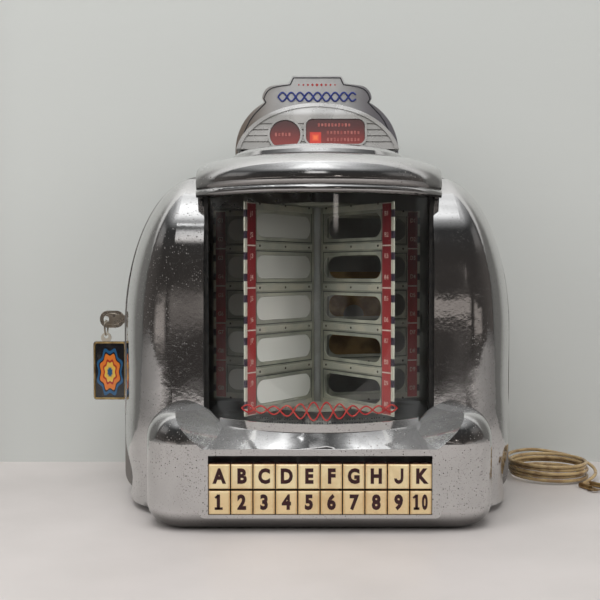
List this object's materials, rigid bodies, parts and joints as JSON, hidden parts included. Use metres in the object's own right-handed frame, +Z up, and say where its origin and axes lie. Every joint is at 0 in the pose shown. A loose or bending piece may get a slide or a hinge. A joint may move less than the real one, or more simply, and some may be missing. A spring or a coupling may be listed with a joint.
{
  "type": "jukebox wall box selector",
  "caption": "Plated wall box with a curved window over a turning book of title leaves, a lettered and numbered key bank below and a coin head on top.",
  "frame": {"origin": "on the base plane, straight under the spindle of the title leaves", "axes": "+X to the right seen from the front, +Y back towards the wall, +Z up"},
  "size_m": [0.4245, 0.2378, 0.3319],
  "materials": {
    "plated_casting": "worn plating over a casting, fine pitting",
    "ribbed_panel": "satin grooves with polished rim",
    "brushed_header": "fine horizontal brushing",
    "clear_pane": "clear, gloss",
    "red_lens": "translucent red",
    "black_rubber": "matte",
    "cream_key": "aged cream, soft gloss",
    "steel_plate": "zinc plated, dull",
    "spring_steel": "oiled",
    "screw_steel": "turned",
    "tin_plate": "tinned, dull",
    "phenolic": "brown laminate",
    "brass_sheet": "dull, tarnished",
    "leaf_metal": "satin grey-green",
    "bar_aluminium": "satin",
    "red_index": "satin red",
    "card_paper": "matte",
    "worn_nickel": "worn, warm",
    "black_enamel": "gloss enamel with gilt rim",
    "tan_lead": "tan covered wire",
    "lamp_glass": "clear bulb on brass cap"
  },
  "bodies": {
    "chassis": {"back_plate": "steel_plate", "cable_grommet": "black_rubber", "chassis_shelf": "steel_plate", "lamps": "lamp_glass", "key_guide": "steel_plate", "key_springs": "spring_steel", "contact_disc": "phenolic", "drive_motor": "steel_plate", "latch_solenoid": "phenolic", "coin_chute": "tin_plate", "slug_rejector": "brass_sheet", "cash_box": "tin_plate", "chassis_screws": "screw_steel", "feed_lead": "tan_lead", "lead_coil": "tan_lead", "lead_lugs": "brass_sheet"},
    "cover": {"front_cover": "plated_casting", "window_pane": "clear_pane", "window_seals": "black_rubber", "coin_panel": "ribbed_panel", "coin_lens": "red_lens", "instruction_lens": "red_lens", "header_plate": "brushed_header", "spindle_bracket": "steel_plate", "lock_barrel": "plated_casting"},
    "carousel": {"spindle": "steel_plate", "carousel_discs": "leaf_metal", "page_wheel": "plated_casting", "program_leaves": "leaf_metal", "title_bars": "bar_aluminium", "index_strips": "red_index", "title_cards": "card_paper"},
    "lock_plug": {"lock_key": "worn_nickel"},
    "ring": {"key_ring": "worn_nickel"},
    "fob": {"key_fob": "black_enamel"},
    "letter_latch": {"letter_latch": "spring_steel"},
    "number_latch": {"number_latch": "spring_steel"},
    "plunger": {"solenoid_plunger": "screw_steel"},
    "wiper": {"wiper_rotor": "brass_sheet"},
    "pinion": {"motor_pinion": "brass_sheet"},
    "key_a": {"key_a": "cream_key"},
    "key_b": {"key_b": "cream_key"},
    "key_c": {"key_c": "cream_key"},
    "key_d": {"key_d": "cream_key"},
    "key_e": {"key_e": "cream_key"},
    "key_f": {"key_f": "cream_key"},
    "key_g": {"key_g": "cream_key"},
    "key_h": {"key_h": "cream_key"},
    "key_j": {"key_j": "cream_key"},
    "key_k": {"key_k": "cream_key"},
    "key_1": {"key_1": "cream_key"},
    "key_2": {"key_2": "cream_key"},
    "key_3": {"key_3": "cream_key"},
    "key_4": {"key_4": "cream_key"},
    "key_5": {"key_5": "cream_key"},
    "key_6": {"key_6": "cream_key"},
    "key_7": {"key_7": "cream_key"},
    "key_8": {"key_8": "cream_key"},
    "key_9": {"key_9": "cream_key"},
    "key_10": {"key_10": "cream_key"}
  },
  "joints": [
    {"name": "cover_pull", "type": "slide", "parent": "chassis", "child": "cover", "axis": [0, -1, 0], "range_m": [0, 0.2]},
    {"name": "program_turn", "type": "hinge", "parent": "cover", "child": "carousel", "pos_m": [0, 0, 0.15], "axis": [0, 0, 1], "continuous": true},
    {"name": "lock_turn", "type": "hinge", "parent": "cover", "child": "lock_plug", "pos_m": [-0.153, 0.037, 0.137], "axis": [1, 0, 0], "range_deg": [0, 90]},
    {"name": "ring_swing", "type": "hinge", "parent": "lock_plug", "child": "ring", "pos_m": [-0.173, 0.037, 0.1358], "axis": [1, 0, 0], "range_deg": [-20, 20]},
    {"name": "fob_swing", "type": "hinge", "parent": "ring", "child": "fob", "pos_m": [-0.173, 0.037, 0.1238], "axis": [0, 1, 0], "range_deg": [0, 60]},
    {"name": "letter_latch_tilt", "type": "hinge", "parent": "chassis", "child": "letter_latch", "pos_m": [0, -0.06, 0.0479], "axis": [1, 0, 0], "range_deg": [-8, 0], "stiffness_Nm_per_rad": 0.002},
    {"name": "number_latch_tilt", "type": "hinge", "parent": "chassis", "child": "number_latch", "pos_m": [0, -0.06, 0.03035], "axis": [1, 0, 0], "range_deg": [-8, 0], "stiffness_Nm_per_rad": 0.002},
    {"name": "plunger_slide", "type": "slide", "parent": "chassis", "child": "plunger", "axis": [0, -1, 0], "range_m": [0, 0.005], "stiffness_N_per_m": 60},
    {"name": "wiper_turn", "type": "hinge", "parent": "chassis", "child": "wiper", "pos_m": [0.062, 0.044, 0.03], "axis": [0, 0, 1], "continuous": true},
    {"name": "motor_turn", "type": "hinge", "parent": "chassis", "child": "pinion", "pos_m": [0.0367, 0.044, 0.04], "axis": [0, 0, 1], "continuous": true},
    {"name": "key_a_press", "type": "slide", "parent": "chassis", "child": "key_a", "axis": [0, 1, 0], "range_m": [0, 0.004], "stiffness_N_per_m": 150, "deforming": ["key_springs"]},
    {"name": "key_b_press", "type": "slide", "parent": "chassis", "child": "key_b", "axis": [0, 1, 0], "range_m": [0, 0.004], "stiffness_N_per_m": 150, "deforming": ["key_springs"]},
    {"name": "key_c_press", "type": "slide", "parent": "chassis", "child": "key_c", "axis": [0, 1, 0], "range_m": [0, 0.004], "stiffness_N_per_m": 150, "deforming": ["key_springs"]},
    {"name": "key_d_press", "type": "slide", "parent": "chassis", "child": "key_d", "axis": [0, 1, 0], "range_m": [0, 0.004], "stiffness_N_per_m": 150, "deforming": ["key_springs"]},
    {"name": "key_e_press", "type": "slide", "parent": "chassis", "child": "key_e", "axis": [0, 1, 0], "range_m": [0, 0.004], "stiffness_N_per_m": 150, "deforming": ["key_springs"]},
    {"name": "key_f_press", "type": "slide", "parent": "chassis", "child": "key_f", "axis": [0, 1, 0], "range_m": [0, 0.004], "stiffness_N_per_m": 150, "deforming": ["key_springs"]},
    {"name": "key_g_press", "type": "slide", "parent": "chassis", "child": "key_g", "axis": [0, 1, 0], "range_m": [0, 0.004], "stiffness_N_per_m": 150, "deforming": ["key_springs"]},
    {"name": "key_h_press", "type": "slide", "parent": "chassis", "child": "key_h", "axis": [0, 1, 0], "range_m": [0, 0.004], "stiffness_N_per_m": 150, "deforming": ["key_springs"]},
    {"name": "key_j_press", "type": "slide", "parent": "chassis", "child": "key_j", "axis": [0, 1, 0], "range_m": [0, 0.004], "stiffness_N_per_m": 150, "deforming": ["key_springs"]},
    {"name": "key_k_press", "type": "slide", "parent": "chassis", "child": "key_k", "axis": [0, 1, 0], "range_m": [0, 0.004], "stiffness_N_per_m": 150, "deforming": ["key_springs"]},
    {"name": "key_1_press", "type": "slide", "parent": "chassis", "child": "key_1", "axis": [0, 1, 0], "range_m": [0, 0.004], "stiffness_N_per_m": 150, "deforming": ["key_springs"]},
    {"name": "key_2_press", "type": "slide", "parent": "chassis", "child": "key_2", "axis": [0, 1, 0], "range_m": [0, 0.004], "stiffness_N_per_m": 150, "deforming": ["key_springs"]},
    {"name": "key_3_press", "type": "slide", "parent": "chassis", "child": "key_3", "axis": [0, 1, 0], "range_m": [0, 0.004], "stiffness_N_per_m": 150, "deforming": ["key_springs"]},
    {"name": "key_4_press", "type": "slide", "parent": "chassis", "child": "key_4", "axis": [0, 1, 0], "range_m": [0, 0.004], "stiffness_N_per_m": 150, "deforming": ["key_springs"]},
    {"name": "key_5_press", "type": "slide", "parent": "chassis", "child": "key_5", "axis": [0, 1, 0], "range_m": [0, 0.004], "stiffness_N_per_m": 150, "deforming": ["key_springs"]},
    {"name": "key_6_press", "type": "slide", "parent": "chassis", "child": "key_6", "axis": [0, 1, 0], "range_m": [0, 0.004], "stiffness_N_per_m": 150, "deforming": ["key_springs"]},
    {"name": "key_7_press", "type": "slide", "parent": "chassis", "child": "key_7", "axis": [0, 1, 0], "range_m": [0, 0.004], "stiffness_N_per_m": 150, "deforming": ["key_springs"]},
    {"name": "key_8_press", "type": "slide", "parent": "chassis", "child": "key_8", "axis": [0, 1, 0], "range_m": [0, 0.004], "stiffness_N_per_m": 150, "deforming": ["key_springs"]},
    {"name": "key_9_press", "type": "slide", "parent": "chassis", "child": "key_9", "axis": [0, 1, 0], "range_m": [0, 0.004], "stiffness_N_per_m": 150, "deforming": ["key_springs"]},
    {"name": "key_10_press", "type": "slide", "parent": "chassis", "child": "key_10", "axis": [0, 1, 0], "range_m": [0, 0.004], "stiffness_N_per_m": 150, "deforming": ["key_springs"]}
  ],
  "couplings": [
    {"joint": "letter_latch_tilt", "follows": "plunger_slide", "rad_per_m": -27.9},
    {"joint": "number_latch_tilt", "follows": "plunger_slide", "rad_per_m": -27.9},
    {"joint": "motor_turn", "follows": "wiper_turn", "ratio": -4}
  ]
}
